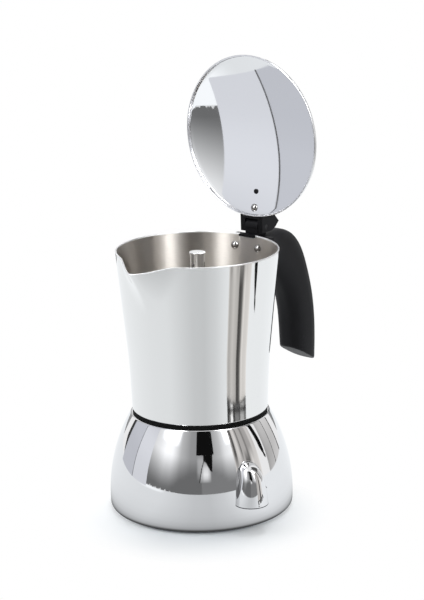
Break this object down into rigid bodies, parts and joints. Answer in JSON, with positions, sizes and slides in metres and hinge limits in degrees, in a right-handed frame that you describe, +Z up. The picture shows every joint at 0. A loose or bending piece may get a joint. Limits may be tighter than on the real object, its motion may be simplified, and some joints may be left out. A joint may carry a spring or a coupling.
{
  "type": "moka pot",
  "caption": "Stovetop espresso maker: belly-shaped boiler, filter funnel, flared upper pot with pressed spout, side handle and hinged domed lid.",
  "frame": {"origin": "centre of the base's flat underside, on the pot's axis", "axes": "+Z up along the pot's axis, +X towards the handle, spout towards -X"},
  "size_m": [0.173, 0.1215, 0.2752],
  "materials": {
    "mirror_steel": "mirror-polished stainless steel",
    "brushed_steel": "brushed stainless steel",
    "aluminium": "spun aluminium",
    "brass": "turned brass",
    "spring_steel": "drawn spring wire",
    "black_plastic": "satin black heat-resistant plastic",
    "black_rubber": "black silicone rubber",
    "white_silicone": "white silicone",
    "seat_plastic": "white valve seat plastic"
  },
  "bodies": {
    "boiler": {"boiler_shell": "mirror_steel", "base_disc": "aluminium", "valve_housing": "mirror_steel", "valve_seat": "seat_plastic", "valve_spring": "spring_steel", "valve_retainer": "brass", "seam_ring": "black_rubber"},
    "valve": {"valve_plunger": "brass"},
    "funnel": {"funnel": "aluminium", "funnel_screen": "aluminium"},
    "seal": {"gasket": "white_silicone", "filter_plate": "brushed_steel"},
    "collector": {"collector_shell": "mirror_steel", "collector_floor": "brushed_steel", "screw_collar": "brushed_steel", "column": "brushed_steel", "column_cap": "mirror_steel", "handle": "black_plastic", "handle_inserts": "brass", "handle_screws": "mirror_steel", "hinge_pin": "mirror_steel"},
    "lid": {"lid": "mirror_steel", "lid_bracket": "black_plastic", "lid_insert": "brass", "lid_screw": "mirror_steel"}
  },
  "joints": [
    {"name": "collector_lift", "type": "slide", "parent": "boiler", "child": "seal", "axis": [0, 0, 1], "range_m": [0, 0.15]},
    {"name": "collector_turn", "type": "hinge", "parent": "seal", "child": "collector", "pos_m": [0, 0, 0], "axis": [0, 0, 1], "range_deg": [0, 540]},
    {"name": "lid_hinge", "type": "hinge", "parent": "collector", "child": "lid", "pos_m": [0.0572, 0, 0.1672], "axis": [0, 1, 0], "range_deg": [-88.5, 12]},
    {"name": "funnel_lift", "type": "slide", "parent": "boiler", "child": "funnel", "axis": [0, 0, 1], "range_m": [0, 0.075]},
    {"name": "valve_lift", "type": "slide", "parent": "boiler", "child": "valve", "axis": [0, 0, -1], "range_m": [0, 0.0015], "stiffness_N_per_m": 2500, "springref_m": -0.002, "deforming": ["valve_spring"]}
  ],
  "couplings": [
    {"joint": "funnel_lift", "follows": "collector_lift", "ratio": 0.5}
  ]
}
